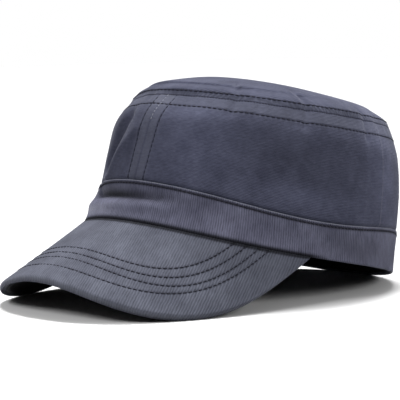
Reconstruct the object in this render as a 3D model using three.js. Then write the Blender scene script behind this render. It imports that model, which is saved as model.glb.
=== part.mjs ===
// A patrol cap of slate cotton twill, as it rests by itself: on the two corners of its peak and on the back of
// its band. A domed top panel, two side panels that meet in a seam down the middle of the front, a back panel,
// a band, a dark sweatband inside it, and a stiff arched peak with its under cover.
// Millimetres, +Z up, the front towards -Y and the wearer's left towards +X.
// The cap is worked out standing on its band's plane, then leaned back until it rests, with the middle of its
// outline at the origin and the surface under it at z = 0.

import * as THREE from 'three';

// Band, outside
const bandHalfWidth = 86.9;
const bandHalfLength = 101.4;
const bandHeight = 23.1;
const bandWall = 2.4;

// Sweatband inside the band
const sweatbandWall = 1.2;
const sweatbandHeight = 18;
const sweatbandRaise = 1.5;

// Crown, from the band's edge up
const crownHeight = 84;
const crownWall = 1.6;
const crownSetIn = 0.4;
const shoulderReach = 15.5;
const shoulderRise = 10.5;
const domeRise = 6.1;
const topLean = 9;
const backSeamTurn = 109;

// The front seam leans a little: its turn at the band and at the top seam
const frontSeamLow = 2;
const frontSeamHigh = 6.5;

// The soft top slumps over the wearer's right front
const slumpDepth = 5.5;
const slumpTurn = -41;
const slumpSpread = 21;

// Depth that the rows of the fold table are shares of
const foldDepth = 3;

// Peak: its length in the middle, how far round the band it reaches, its arch and its dip below the band's plane
const peakReach = 64;
const peakEndTurn = 76;
const peakOverhang = 0.8;
const peakArchTurn = 62.8;
const peakDip = 39.5;
const peakCornerPower = 3.6;
const peakWall = 3.6;
const peakRimRound = 3;
const peakSeatReach = 0.5;

// Under cover of the peak
const underCoverWall = 1.1;
const underCoverInset = 3;

// Clearances, and how far the cloth is pressed flat where it rests
const pieceGap = 0.3;
const bandPress = 1;
const peakPress = 0.3;

// Columns and rows of the faceted walls
const ringColumns = 60;
const sideColumns = 30;
const backColumns = 22;
const wallRows = 8;
const bandRows = 6;
const topColumns = 44;
const peakColumns = 34;
const peakRows = 7;

// Lines round the cap that rise and fall: a mean height and waves that run once to four times round it, as
// shares of the size named in each row, positive at the front
const lines = [
  { name: 'band edge', of: bandHeight, mean: 0, once: -0.01, twice: 0.039, thrice: 0.057, fourth: 0 },
  { name: 'band top', of: bandHeight, mean: 1, once: -0.002, twice: 0.052, thrice: 0.136, fourth: -0.046 },
  { name: 'top seam', of: crownHeight, mean: 1, once: -0.067, twice: 0.002, thrice: 0, fourth: 0 },
];

// Sections of the wall: plan as a share of the band's half sizes, shift towards the back as a share of its half
// length, and height as a number between the lines above
const wallSections = [
  { name: 'band edge', plan: 1, shift: -0.0195, line: 0 },
  { name: 'band middle', plan: 0.975, shift: 0.002, line: 0.5 },
  { name: 'band top', plan: 0.963, shift: 0.0095, line: 1 },
  { name: 'low wall', plan: 0.943, shift: -0.0015, line: 1.4 },
  { name: 'high wall', plan: 0.909, shift: -0.02, line: 1.75 },
  { name: 'top seam', plan: 0.83, shift: -0.0205, line: 2 },
];

// Sections of the top: inset from the seam as a share of shoulderReach, way left to the middle, rise as a share
// of shoulderRise, dome as a share of domeRise, lean as a share of topLean, and how much of the seam's wave stays
const topSections = [
  { name: 'shoulder foot', inset: 0.165, middle: 0, rise: 0.42, dome: 0, lean: 0.15, wave: 1 },
  { name: 'shoulder', inset: 0.57, middle: 0, rise: 0.75, dome: 0, lean: 0.4, wave: 1 },
  { name: 'shoulder top', inset: 1, middle: 0, rise: 1, dome: 0, lean: 0.8, wave: 1 },
  { name: 'outer dome', inset: 1, middle: 0.44, rise: 1, dome: 0.79, lean: 1, wave: 0.4 },
  { name: 'inner dome', inset: 1, middle: 0.81, rise: 1, dome: 1, lean: 1, wave: 0.05 },
  { name: 'centre', inset: 1, middle: 1, rise: 1, dome: 1, lean: 1, wave: 0 },
];

// Folds and dents: each runs from one turn and rise to another, with its spread across the cloth in shares of
// bandHeight and its depth in shares of foldDepth, negative inwards. Rise is a share of crownHeight.
const folds = [
  { name: 'front ridge', turn: [-3, -22], rise: [0.66, 0.35], spread: 0.2, depth: 0.5 },
  { name: 'front hollow', turn: [-12, -23], rise: [0.76, 0.42], spread: 0.24, depth: -1.1 },
  { name: 'crease in the band', turn: [-33, 16], rise: [0.2, 0.215], spread: 0.16, depth: -0.5 },
  { name: 'bulge under the crease', turn: [-44, 22], rise: [0.11, 0.13], spread: 0.17, depth: 0.35 },
  { name: 'hollow of the left side', turn: [44, 72], rise: [0.62, 0.66], spread: 0.8, depth: -0.5 },
  { name: 'hollow of the right side', turn: [-80, -60], rise: [0.58, 0.62], spread: 0.8, depth: -0.4 },
  { name: 'swell over the left band', turn: [70, 96], rise: [0.38, 0.4], spread: 0.5, depth: 0.35 },
];

const topSeamSection = wallSections.length - 1;
const bandTopSection = 2;
const meanHalfSize = (bandHalfWidth + bandHalfLength) / 2;

const radians = THREE.MathUtils.degToRad;
const lerp = THREE.MathUtils.lerp;
const clamp = THREE.MathUtils.clamp;

// Height of one waved line at a turn round the cap, in radians from the middle of the front
function lineHeight(line, turn) {
  const wave = line.mean + line.once * Math.cos(turn) + line.twice * Math.cos(2 * turn)
    + line.thrice * Math.cos(3 * turn) + line.fourth * Math.cos(4 * turn);
  return line.of * wave;
}

function slumpAt(turn) {
  const away = (THREE.MathUtils.radToDeg(turn) - slumpTurn) / slumpSpread;
  return slumpDepth * Math.exp(-away * away);
}

function seamHeight(turn) {
  return lineHeight(lines[2], turn) - slumpAt(turn);
}

// Height between the waved lines: 0 is the band's edge, 1 its top and 2 the top seam
function heightBetween(level, turn) {
  const heights = [lineHeight(lines[0], turn), lineHeight(lines[1], turn), seamHeight(turn)];
  const lower = Math.min(Math.floor(level), 1);
  return lerp(heights[lower], heights[lower + 1], level - lower);
}

// Point of one section, counted from 0 at the band's edge to the centre of the top
function sectionPoint(index, turn) {
  const seam = wallSections[topSeamSection];
  let plan;
  let shift;
  let height;
  if (index <= topSeamSection) {
    const row = wallSections[index];
    plan = row.plan;
    shift = row.shift * bandHalfLength;
    height = heightBetween(row.line, turn);
  } else {
    const row = topSections[Math.min(index - topSeamSection, topSections.length) - 1];
    plan = (seam.plan - row.inset * shoulderReach / meanHalfSize) * (1 - row.middle);
    shift = seam.shift * bandHalfLength - row.lean * topLean;
    height = lerp(lines[2].of, seamHeight(turn), row.wave) + row.rise * shoulderRise + row.dome * domeRise;
  }
  const x = bandHalfWidth * plan * Math.sin(turn);
  const y = shift - bandHalfLength * plan * Math.cos(turn);
  return new THREE.Vector3(x, y, height);
}

// Smooth surface through the sections, before any fold: a Catmull-Rom curve up the cap at each turn
function plainPoint(turn, section) {
  const last = topSeamSection + topSections.length;
  const index = clamp(Math.floor(section), 0, last - 1);
  const part = section - index;
  const rows = [index - 1, index, index + 1, index + 2].map((row) => sectionPoint(clamp(row, 0, last), turn));
  const curve = [0, 1, 2].map((axis) => {
    const [before, start, end, after] = rows.map((row) => row.getComponent(axis));
    const slope = end - before;
    const bend = 2 * before - 5 * start + 4 * end - after;
    const twist = 3 * (start - end) + after - before;
    return start + 0.5 * part * (slope + part * (bend + part * twist));
  });
  return new THREE.Vector3(...curve);
}

// Depth of all folds at a point of the plain surface, from its distance to each fold's line on the cloth
function foldAt(turn, height) {
  const degrees = THREE.MathUtils.radToDeg(turn);
  const degreeLength = radians(1) * meanHalfSize;
  let depth = 0;
  for (const fold of folds) {
    const run = (fold.turn[1] - fold.turn[0]) * degreeLength;
    const climb = (fold.rise[1] - fold.rise[0]) * crownHeight;
    const along = (degrees - fold.turn[0]) * degreeLength;
    const above = height - fold.rise[0] * crownHeight;
    const share = clamp((along * run + above * climb) / (run * run + climb * climb), 0, 1);
    const away = Math.hypot(along - share * run, above - share * climb) / (fold.spread * bandHeight);
    depth += fold.depth * foldDepth * Math.exp(-away * away);
  }
  return depth;
}

// Outward direction of the surface, level at the band's edge and straight up at the centre of the top
function outward(turn, section) {
  const step = 0.01;
  const last = topSeamSection + topSections.length;
  if (section > last - 0.5) {
    return new THREE.Vector3(0, 0, 1);
  }
  const low = Math.max(section - step, 0);
  const round = plainPoint(turn + step, section).sub(plainPoint(turn - step, section));
  const up = plainPoint(turn, section + step).sub(plainPoint(turn, low));
  const normal = round.cross(up).normalize();
  if (section <= 0) {
    normal.setZ(0).normalize();
  }
  return normal;
}

// Point of the cap's cloth: the folded surface, moved inwards by a depth
function clothPoint(turn, section, inwards) {
  const plain = plainPoint(turn, section);
  const normal = outward(turn, section);
  return plain.addScaledVector(normal, foldAt(turn, plain.z) - inwards);
}

// Mesh of a closed body between two grids of points. Grids hold columns of rows; a wrapped grid closes on its
// first column, and a grid with a pole ends in one point.
function shellBetween(outer, inner, { wrapped = false, pole = false } = {}) {
  const columns = outer.length;
  const rows = outer[0].length;
  const points = [];
  const faces = [];
  const number = [outer, inner].map((grid) => grid.map((column) => column.map((point) => points.push(point) - 1)));
  const poles = number.map((grid) => grid[0][rows - 1]);
  const quad = (a, b, c, d) => faces.push([a, b, c], [a, c, d]);
  const spans = wrapped ? columns : columns - 1;
  for (let column = 0; column < spans; column += 1) {
    const next = (column + 1) % columns;
    const [here, there] = [number[0][column], number[0][next]];
    const [hereIn, thereIn] = [number[1][column], number[1][next]];
    const quads = pole ? rows - 2 : rows - 1;
    for (let row = 0; row < quads; row += 1) {
      quad(here[row], there[row], there[row + 1], here[row + 1]);
      quad(hereIn[row], hereIn[row + 1], thereIn[row + 1], thereIn[row]);
    }
    quad(hereIn[0], thereIn[0], there[0], here[0]);
    if (pole) {
      faces.push([here[rows - 2], there[rows - 2], poles[0]], [thereIn[rows - 2], hereIn[rows - 2], poles[1]]);
    } else {
      quad(here[rows - 1], there[rows - 1], thereIn[rows - 1], hereIn[rows - 1]);
    }
  }
  if (!wrapped) {
    const [first, last] = [0, columns - 1];
    for (let row = 0; row < rows - 1; row += 1) {
      quad(number[0][first][row], number[0][first][row + 1], number[1][first][row + 1], number[1][first][row]);
      quad(number[1][last][row], number[1][last][row + 1], number[0][last][row + 1], number[0][last][row]);
    }
  }
  return { points, faces };
}

function steps(from, to, count) {
  return Array.from({ length: count + 1 }, (_, index) => lerp(from, to, index / count));
}

function ringTurns(count) {
  return steps(-Math.PI, Math.PI, count).slice(0, count);
}

function clothGrid(turns, sections, inwards) {
  return turns.map((turn) => sections.map((section) => clothPoint(turn, section, inwards(section))));
}

// Sections that a length takes up along the wall, for gaps and for the sweatband's edges
const bandSectionLength = bandHeight / bandTopSection;
const wallSectionLength = (crownHeight - bandHeight) / (topSeamSection - bandTopSection);
const shoulderSectionLength = Math.hypot(topSections[0].inset * shoulderReach, topSections[0].rise * shoulderRise);

// Rows of the band. The sweatband takes all but the first and last, so that its facets follow the band's.
const sweatbandLow = sweatbandRaise / bandSectionLength;
const sweatbandHigh = sweatbandLow + sweatbandHeight / bandSectionLength;
const sweatbandSections = steps(sweatbandLow, sweatbandHigh, bandRows - 2);
const bandSections = [0, ...sweatbandSections, bandTopSection];

function ringShell(sections, face, wall) {
  const turns = ringTurns(ringColumns);
  return shellBetween(
    clothGrid(turns, sections, () => face),
    clothGrid(turns, sections, () => face + wall),
    { wrapped: true },
  );
}

function band() {
  return ringShell(bandSections, 0, bandWall);
}

function sweatband() {
  return ringShell(sweatbandSections, bandWall + pieceGap, sweatbandWall);
}

// The crown's wall stands a little inside the band's rolled edge and comes out to full size above it
function crownInwards(section) {
  return crownSetIn * clamp(bandTopSection + 1 - section, 0, 1);
}

function wallPanel(from, to, columns) {
  const seamTurn = pieceGap / 2 / (meanHalfSize * wallSections[topSeamSection].plan);
  const shares = steps(0, 1, columns);
  const foot = bandTopSection + 2 * pieceGap / wallSectionLength;
  const head = topSeamSection - pieceGap / 2 / wallSectionLength;
  const sections = steps(foot, head, wallRows);
  const grid = (inwards) => shares.map((share) => sections.map((section) => {
    const turn = lerp(radians(from(section)) + seamTurn, radians(to(section)) - seamTurn, share);
    return clothPoint(turn, section, crownInwards(section) + inwards);
  }));
  return shellBetween(grid(0), grid(crownWall));
}

// Turns of the three seams at a section of the wall, in degrees
const frontSeam = (section) => {
  const climb = (section - bandTopSection) / (topSeamSection - bandTopSection);
  return lerp(frontSeamLow, frontSeamHigh, climb);
};
const leftSeam = () => backSeamTurn;
const rightSeam = () => -backSeamTurn;
const rightSeamAgain = () => 360 - backSeamTurn;

function topPanel() {
  const turns = ringTurns(topColumns);
  const rim = topSeamSection + pieceGap / 2 / shoulderSectionLength;
  const inner = topSections.slice(0, -1).map((_, index) => topSeamSection + 1 + index);
  const sections = [rim, ...inner.flatMap((section) => [section - 0.5, section]), inner.at(-1) + 1];
  return shellBetween(
    clothGrid(turns, sections, () => 0),
    clothGrid(turns, sections, () => crownWall),
    { wrapped: true, pole: true },
  );
}

// The peak is a flat board bent round one straight direction, so that it arches across and runs straight from
// the band to its rim. Its flat places are an arc turn across and a length along that direction.
const edge = wallSections[0];
const peakHalfWidth = bandHalfWidth * edge.plan * Math.sin(radians(peakEndTurn)) + peakOverhang;
const peakRadius = peakHalfWidth / Math.sin(radians(peakArchTurn));
const along = new THREE.Vector3(0, -Math.cos(radians(peakDip)), -Math.sin(radians(peakDip)));
const above = new THREE.Vector3(0, -Math.sin(radians(peakDip)), Math.cos(radians(peakDip)));
const bandFront = plainPoint(0, 0);
const endDrop = peakRadius * (1 - Math.cos(radians(peakArchTurn))) * -above.y;
const peakSetBack = (plainPoint(radians(peakEndTurn), 0).y - bandFront.y - endDrop) / -along.y;
const archCentre = bandFront.clone().addScaledVector(along, -peakSetBack).addScaledVector(above, -peakRadius);
archCentre.z -= pieceGap;

function boardPoint(arc, length, inwards) {
  const radius = peakRadius - inwards;
  const across = new THREE.Vector3(radius * Math.sin(arc), 0, 0);
  return across.addScaledVector(above, radius * Math.cos(arc)).addScaledVector(along, length).add(archCentre);
}

// Flat place of the board over a point of the band's edge, and how far that edge is from the board there
function seatOf(turn) {
  const seat = plainPoint(turn, 0).addScaledVector(outward(turn, 0), peakSeatReach);
  seat.z -= pieceGap;
  const arc = Math.asin(clamp(seat.x / peakRadius, -1, 1));
  const archY = archCentre.y + above.y * peakRadius * Math.cos(arc);
  const length = (seat.y - archY) / along.y;
  return { arc, length, lift: seat.z - boardPoint(arc, length, 0).z };
}

// Rim of the board: a superellipse in plan, from one end on the band to the other
function rimOf(share) {
  const angle = share * Math.PI / 2;
  const power = 2 / peakCornerPower;
  const x = Math.sign(share) * peakHalfWidth * Math.abs(Math.sin(angle)) ** power;
  return { arc: Math.asin(x / peakRadius), length: (peakSetBack + peakReach) * Math.cos(angle) ** power };
}

// Point of the board at a share of the way round (-1 to 1) and from the band (0) to the rim (1)
function peakPoint(share, out, inwards) {
  const seat = seatOf(share * radians(peakEndTurn));
  const rim = rimOf(share);
  const point = boardPoint(lerp(seat.arc, rim.arc, out), lerp(seat.length, rim.length, out), inwards);
  point.z += seat.lift * (1 - out) ** 2;
  return point;
}

// Width of the board from the band to its rim
function peakWidth(share) {
  return peakPoint(share, 0, 0).distanceTo(peakPoint(share, 1, 0));
}

// A narrow level seat runs under the band, as wide as the band's wall
function seatPoint(share, inwards) {
  const turn = share * radians(peakEndTurn);
  const point = plainPoint(turn, 0).addScaledVector(outward(turn, 0), -bandWall);
  point.z -= pieceGap + inwards;
  return point;
}

function peak() {
  const shares = steps(-1, 1, peakColumns);
  const roundings = [1, 0.5, 0.15, 0];
  const column = (share, inwards) => {
    const round = Math.min(peakRimRound / peakWidth(share), 0.45);
    const plain = steps(0, 1 - round, peakRows).slice(0, -1);
    const outs = [...plain, ...roundings.map((left) => 1 - round * left)];
    const rows = outs.map((out) => {
      const left = Math.min((1 - out) / round, 1);
      const fall = peakRimRound * (1 - Math.sqrt(1 - (1 - left) ** 2));
      return peakPoint(share, out, inwards === 0 ? fall : inwards);
    });
    return [seatPoint(share, inwards), ...rows];
  };
  const grid = (inwards) => shares.map((share) => column(share, inwards).reverse());
  return shellBetween(grid(0), grid(peakWall));
}

function peakUnderCover() {
  const endShare = 0.93;
  const shares = steps(-endShare, endShare, peakColumns - 4);
  const face = peakWall + pieceGap;
  const column = (share, inwards) => {
    const inset = underCoverInset / peakWidth(share);
    return steps(inset, 1 - inset, peakRows).map((out) => peakPoint(share, out, inwards)).reverse();
  };
  const grid = (inwards) => shares.map((share) => column(share, inwards));
  return shellBetween(grid(face), grid(face + underCoverWall));
}

const cloths = {
  twill: { color: 0x5a5d6e, roughness: 0.95, metalness: 0 },
  bandTwill: { color: 0x56586a, roughness: 0.95, metalness: 0 },
  peakTwill: { color: 0x5e6270, roughness: 0.92, metalness: 0 },
  lining: { color: 0x0c0c10, roughness: 0.9, metalness: 0 },
};

const pieces = [
  { name: 'top_panel', cloth: cloths.twill, shape: topPanel() },
  { name: 'left_side_panel', cloth: cloths.twill, shape: wallPanel(frontSeam, leftSeam, sideColumns) },
  { name: 'right_side_panel', cloth: cloths.twill, shape: wallPanel(rightSeam, frontSeam, sideColumns) },
  { name: 'back_panel', cloth: cloths.twill, shape: wallPanel(leftSeam, rightSeamAgain, backColumns) },
  { name: 'band', cloth: cloths.bandTwill, shape: band() },
  { name: 'sweatband', cloth: cloths.lining, shape: sweatband() },
  { name: 'peak', cloth: cloths.peakTwill, shape: peak() },
  { name: 'peak_under_cover', cloth: cloths.lining, shape: peakUnderCover() },
];

function lowest(name, lean) {
  const { points } = pieces.find((piece) => piece.name === name).shape;
  return Math.min(...points.map((point) => point.z * Math.cos(lean) - point.y * Math.sin(lean)));
}

// Lean at which the peak's corners and the back of the band meet the same surface, found by halving
function restLean() {
  let [low, high] = [0, radians(45)];
  for (let halving = 0; halving < 40; halving += 1) {
    const middle = (low + high) / 2;
    if (lowest('peak', middle) + peakPress < lowest('band', middle) + bandPress) {
      low = middle;
    } else {
      high = middle;
    }
  }
  return (low + high) / 2;
}

// Lean every piece back, bring it down to the surface and press flat what would go below it
function layToRest() {
  const lean = restLean();
  const floor = lowest('peak', lean) + peakPress;
  const all = pieces.flatMap((piece) => piece.shape.points);
  for (const point of all) {
    point.applyAxisAngle(new THREE.Vector3(1, 0, 0), -lean);
    point.z = Math.max(point.z - floor, 0);
  }
  const box = new THREE.Box3().setFromPoints(all);
  const centre = box.getCenter(new THREE.Vector3());
  for (const point of all) {
    point.x -= centre.x;
    point.y -= centre.y;
  }
}

function meshOf({ name, cloth, shape }) {
  const geometry = new THREE.BufferGeometry().setFromPoints(shape.points);
  geometry.setIndex(shape.faces.flat());
  geometry.computeVertexNormals();
  const mesh = new THREE.Mesh(geometry, new THREE.MeshStandardMaterial(cloth));
  mesh.name = name;
  return mesh;
}

layToRest();
const cap = new THREE.Group();
cap.name = 'patrol_cap';
cap.add(...pieces.map(meshOf));

export default cap;
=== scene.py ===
# A patrol cap of slate cotton twill, resting on the corners of its peak and on the back of its band.
# The cloth is worked out as smooth surfaces in the band's own frame, in metres, and then leaned back to rest.
# Front towards -Y, the wearer's left towards +X. A turn is an angle round the cap from its front.

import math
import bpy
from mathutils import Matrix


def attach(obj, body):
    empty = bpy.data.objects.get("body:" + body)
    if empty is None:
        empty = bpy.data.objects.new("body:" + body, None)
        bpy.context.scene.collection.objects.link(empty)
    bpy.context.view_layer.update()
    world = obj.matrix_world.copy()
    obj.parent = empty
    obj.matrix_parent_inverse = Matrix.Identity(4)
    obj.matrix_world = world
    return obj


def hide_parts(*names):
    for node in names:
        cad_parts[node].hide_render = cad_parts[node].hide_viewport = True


bl_info = {
    "name": "Patrol Cap",
    "version": (1, 0, 0),
    "blender": (4, 5, 0),
    "location": "3D View > Sidebar > Patrol Cap",
    "description": "Builds a cotton twill patrol cap at rest, with its stitching, cloth and stage",
    "category": "Add Mesh",
}

from collections import namedtuple

import bpy
import numpy as np
from bpy.props import FloatProperty, FloatVectorProperty, PointerProperty
from mathutils import Matrix, Vector

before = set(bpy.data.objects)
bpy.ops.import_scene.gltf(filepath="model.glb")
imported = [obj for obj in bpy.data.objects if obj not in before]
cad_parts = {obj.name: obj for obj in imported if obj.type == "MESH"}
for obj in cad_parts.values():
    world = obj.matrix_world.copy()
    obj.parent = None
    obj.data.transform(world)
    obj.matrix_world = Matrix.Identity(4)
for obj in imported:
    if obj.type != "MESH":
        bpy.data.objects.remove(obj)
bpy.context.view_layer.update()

MM = 0.001

# Lines round the cap that rise and fall, as shares of the size that each row is of, positive at the front
Line = namedtuple("Line", "name mean once twice thrice fourth")
BAND_EDGE = Line("band edge", 0, -0.01, 0.039, 0.057, 0)
BAND_TOP = Line("band top", 1, -0.002, 0.052, 0.136, -0.046)
TOP_SEAM = Line("top seam", 1, -0.067, 0.002, 0, 0)

# Sections of the wall: plan and shift to the back as shares of the band's half sizes, and height between the
# lines: 0 for the band's edge, 1 for its top and 2 for the top seam
WallSection = namedtuple("WallSection", "name plan shift line")
WALL_SECTIONS = (
    WallSection("band edge", 1, -0.0195, 0),
    WallSection("band middle", 0.975, 0.002, 0.5),
    WallSection("band top", 0.963, 0.0095, 1),
    WallSection("low wall", 0.943, -0.0015, 1.4),
    WallSection("high wall", 0.909, -0.02, 1.75),
    WallSection("top seam", 0.83, -0.0205, 2),
)

# Sections of the top: inset, rise, dome and lean as shares of the crown's sizes, the way left to the middle,
# and how much of the seam's wave stays
TopSection = namedtuple("TopSection", "name inset middle rise dome lean wave")
TOP_SECTIONS = (
    TopSection("shoulder foot", 0.165, 0, 0.42, 0, 0.15, 1),
    TopSection("shoulder", 0.57, 0, 0.75, 0, 0.4, 1),
    TopSection("shoulder top", 1, 0, 1, 0, 0.8, 1),
    TopSection("outer dome", 1, 0.44, 1, 0.79, 1, 0.4),
    TopSection("inner dome", 1, 0.81, 1, 1, 1, 0.05),
    TopSection("centre", 1, 1, 1, 1, 1, 0),
)
BAND_TOP_AT = 2
TOP_SEAM_AT = len(WALL_SECTIONS) - 1
CENTRE_AT = TOP_SEAM_AT + len(TOP_SECTIONS)

# Folds: each runs from one turn, in degrees, and rise, a share of the crown's height, to another. Spread is a
# share of the band's height and depth a share of the fold depth, negative inwards.
Fold = namedtuple("Fold", "name turns rises spread depth")
FOLDS = (
    Fold("front ridge", (-3, -22), (0.66, 0.35), 0.2, 0.5),
    Fold("front hollow", (-12, -23), (0.76, 0.42), 0.24, -1.1),
    Fold("crease in the band", (-28, 16), (0.215, 0.225), 0.16, -0.75),
    Fold("fine crease in the band", (-28, 12), (0.195, 0.21), 0.07, -0.35),
    Fold("bulge under the crease", (-44, 22), (0.12, 0.14), 0.17, 0.45),
    Fold("bulge at the right front", (-62, -38), (0.13, 0.14), 0.4, 0.45),
    Fold("hollow of the left side", (44, 72), (0.62, 0.66), 0.8, -0.5),
    Fold("hollow of the right side", (-80, -60), (0.58, 0.62), 0.8, -0.4),
    Fold("swell over the left band", (70, 96), (0.38, 0.4), 0.5, 0.35),
    Fold("soft dent at the left front", (24, 36), (0.45, 0.7), 0.5, -0.18),
    Fold("pucker at the left front", (39, 40), (0.86, 1.08), 0.11, -0.3),
    Fold("pucker at the left side", (69, 70), (0.86, 1.08), 0.11, -0.34),
    Fold("pucker at the left back", (100, 101), (0.88, 1.06), 0.1, -0.28),
)

# Patches of painted shade and painted light, where less or more light falls on the cloth: turn in degrees,
# rise as a share of the crown's height, the spread of both, and the share of the colour that is added
PaintedLightPatch = namedtuple("PaintedLightPatch", "name turn turn_spread rise rise_spread share")
PAINTED_LIGHT_PATCHES = (
    PaintedLightPatch("dark middle of the left side", 60, 22, 0.62, 0.2, -0.25),
    PaintedLightPatch("dark back of the left side", 88, 20, 0.6, 0.3, -0.18),
    PaintedLightPatch("dark middle of the right side", -62, 32, 0.6, 0.2, -0.3),
    PaintedLightPatch("rubbed left front", 27, 16, 0.66, 0.24, 0.4),
    PaintedLightPatch("dark front", -16, 15, 0.6, 0.3, -0.3),
    PaintedLightPatch("all round the top", 0, 1000, 1.25, 0.17, 0.05),
    PaintedLightPatch("dark crease in the band", -9, 28, 0.212, 0.034, -0.9),
    PaintedLightPatch("pale back seam at the left", 112, 14, 0.75, 0.5, 0.5),
    PaintedLightPatch("pale swell over the left band", 72, 16, 0.37, 0.07, 0.22),
    PaintedLightPatch("dark back of the band at the left", 98, 26, 0.1, 0.1, -0.3),
)

# Ripples along a sewn seam: how many run round the cap, their phase, and their share of the pucker depth
Ripple = namedtuple("Ripple", "count phase share")
RIPPLES = (Ripple(31, 0.4, 0.4), Ripple(47, 2.1, 0.35), Ripple(73, 4.0, 0.25))

# Slow waves in the cloth: how many run round and up per section, phase and share of the depth
SlowWave = namedtuple("SlowWave", "round up phase share")
SLOW_WAVES = (SlowWave(5, 0.9, 0.3, 0.4), SlowWave(9, -1.4, 1.9, 0.3), SlowWave(14, 2.1, 4.4, 0.2))

# Stitch rows of the peak, outermost first: distance in from the rim as shares of the peak's half width and of
# its reach, and the power of the row's outline
PeakRow = namedtuple("PeakRow", "side front power")
PEAK_ROWS = (
    PeakRow(0.102, 0.215, 3.6),
    PeakRow(0.133, 0.345, 3.9),
    PeakRow(0.175, 0.425, 3.9),
    PeakRow(0.222, 0.51, 3.9),
)

# Twills: their colour, slant of the ribs in degrees, their distance in mm, and how clear they are
Twill = namedtuple("Twill", "name colour slant rib show")
WALL_TWILL = Twill("crown_twill", "crown", 88, 0.9, 0.36)
TOP_TWILL = Twill("top_twill", "crown", 35, 1, 0.5)
BAND_TWILL = Twill("band_twill", "band", -10, 1.5, 0.9)
PEAK_TWILL = Twill("peak_twill", "peak", 22, 1.5, 0.8)

# Scale of a wave texture whose waves are a metre apart
RIB_SCALE = 0.31416

# Strides of the meshes in mm: coarse, fine near a seam or a stitch row, and how far from it they stay fine
Strides = namedtuple("Strides", "coarse fine reach")
WALL_ROUND = Strides(1.3, 0.5, 9)
WALL_UP = Strides(1.2, 0.45, 8.5)
TOP_UP = Strides(1.7, 0.45, 8.5)
BAND_UP = Strides(1.0, 0.4, 3)

# Columns of the meshes, and points along a line all round the cap, up the front seam and along the peak
CAP_COLUMNS = 480
SWEATBAND_COLUMNS = 240
PEAK_COLUMNS = 261
COVER_COLUMNS = 160
ROUND_POINTS = 721
SEAM_POINTS = 120
GROOVE_POINTS = 260
ROW_POINTS = 900


def length(name, description, millimetres):
    """A property that holds a length, stored in metres and given here in millimetres."""
    default = millimetres * MM
    return FloatProperty(name=name, description=description, default=default, precision=5, unit="LENGTH")


def turn(name, description, degrees):
    """A property that holds an angle, stored in radians and given here in degrees."""
    return FloatProperty(name=name, description=description, default=math.radians(degrees), subtype="ANGLE")


def number(name, description, value):
    """A property that holds a plain number."""
    return FloatProperty(name=name, description=description, default=value)


def colour(name, description, value):
    """A property that holds a colour, as red, green and blue from 0 to 1."""
    limits = {"min": 0, "max": 1}
    return FloatVectorProperty(name=name, description=description, default=value, subtype="COLOR", **limits)


class BandSizes(bpy.types.PropertyGroup):
    """Sizes of the band and of the sweatband inside it"""

    half_width: length("Half width", "Half the band's width at its edge", 86.9)
    half_length: length("Half length", "Half the band's length at its edge", 101.4)
    height: length("Height", "Height of the band", 23.1)
    wall: length("Wall", "Thickness of the band", 2.4)
    roll: length("Rolled edge", "Radius of the rolled upper edge", 0.75)
    sweatband_wall: length("Sweatband wall", "Thickness of the sweatband", 1.2)
    sweatband_height: length("Sweatband height", "Height of the sweatband", 18)
    sweatband_raise: length("Sweatband raise", "How far the sweatband lies above the band's edge", 1.5)


class CrownSizes(bpy.types.PropertyGroup):
    """Sizes of the crown over the band"""

    height: length("Height", "Height of the seam under the top panel", 84)
    wall: length("Wall", "Thickness of the crown's cloth", 1.6)
    set_in: length("Set in", "How far the wall stands inside the band's rolled edge", 0.4)
    shoulder_reach: length("Shoulder reach", "Width of the rounded shoulder of the top", 15.5)
    shoulder_rise: length("Shoulder rise", "Height of the rounded shoulder of the top", 10.5)
    dome_rise: length("Dome rise", "Height of the dome over the shoulder", 6.1)
    top_lean: length("Top lean", "How far the top lies towards the front over its seam", 9)
    slump_depth: length("Slump depth", "How far the top sags over the wearer's right front", 5.5)
    slump_turn: turn("Slump turn", "Where the sag is deepest", -41)
    slump_spread: turn("Slump spread", "How wide the sag is", 21)
    back_seam: turn("Back seam", "Turn of the seams between the sides and the back", 109)
    front_seam_low: turn("Front seam, low end", "Turn of the front seam at the band", 2)
    front_seam_high: turn("Front seam, high end", "Turn of the front seam at the top seam", 6.5)
    fold_depth: length("Fold depth", "Depth that the fold table gives shares of", 3)
    wave_depth: length("Wave depth", "Depth of the slow waves in the cloth", 0.55)


class PeakSizes(bpy.types.PropertyGroup):
    """Sizes of the peak and its under cover"""

    reach: length("Reach", "Length of the peak in the middle", 64)
    end_turn: turn("End turn", "How far round the band the peak reaches", 76)
    overhang: length("Overhang", "How far the peak's ends stand out past the band", 0.8)
    arch_turn: turn("Arch turn", "Half the turn of the peak's arch", 62.8)
    dip: turn("Dip", "Slope of the peak below the band's plane", 39.5)
    corner_power: number("Corner power", "Power of the rim's outline, higher for squarer corners", 3.6)
    wall: length("Wall", "Thickness of the board and its cloth", 3.6)
    rim_round: length("Rim rounding", "Radius of the rounded rim", 3)
    seat_reach: length("Seat reach", "How far the peak stands out from under the band", 0.5)
    cover_wall: length("Under cover wall", "Thickness of the under cover", 1.1)
    cover_inset: length("Under cover inset", "How far the under cover lies in from the rim", 3)


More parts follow.
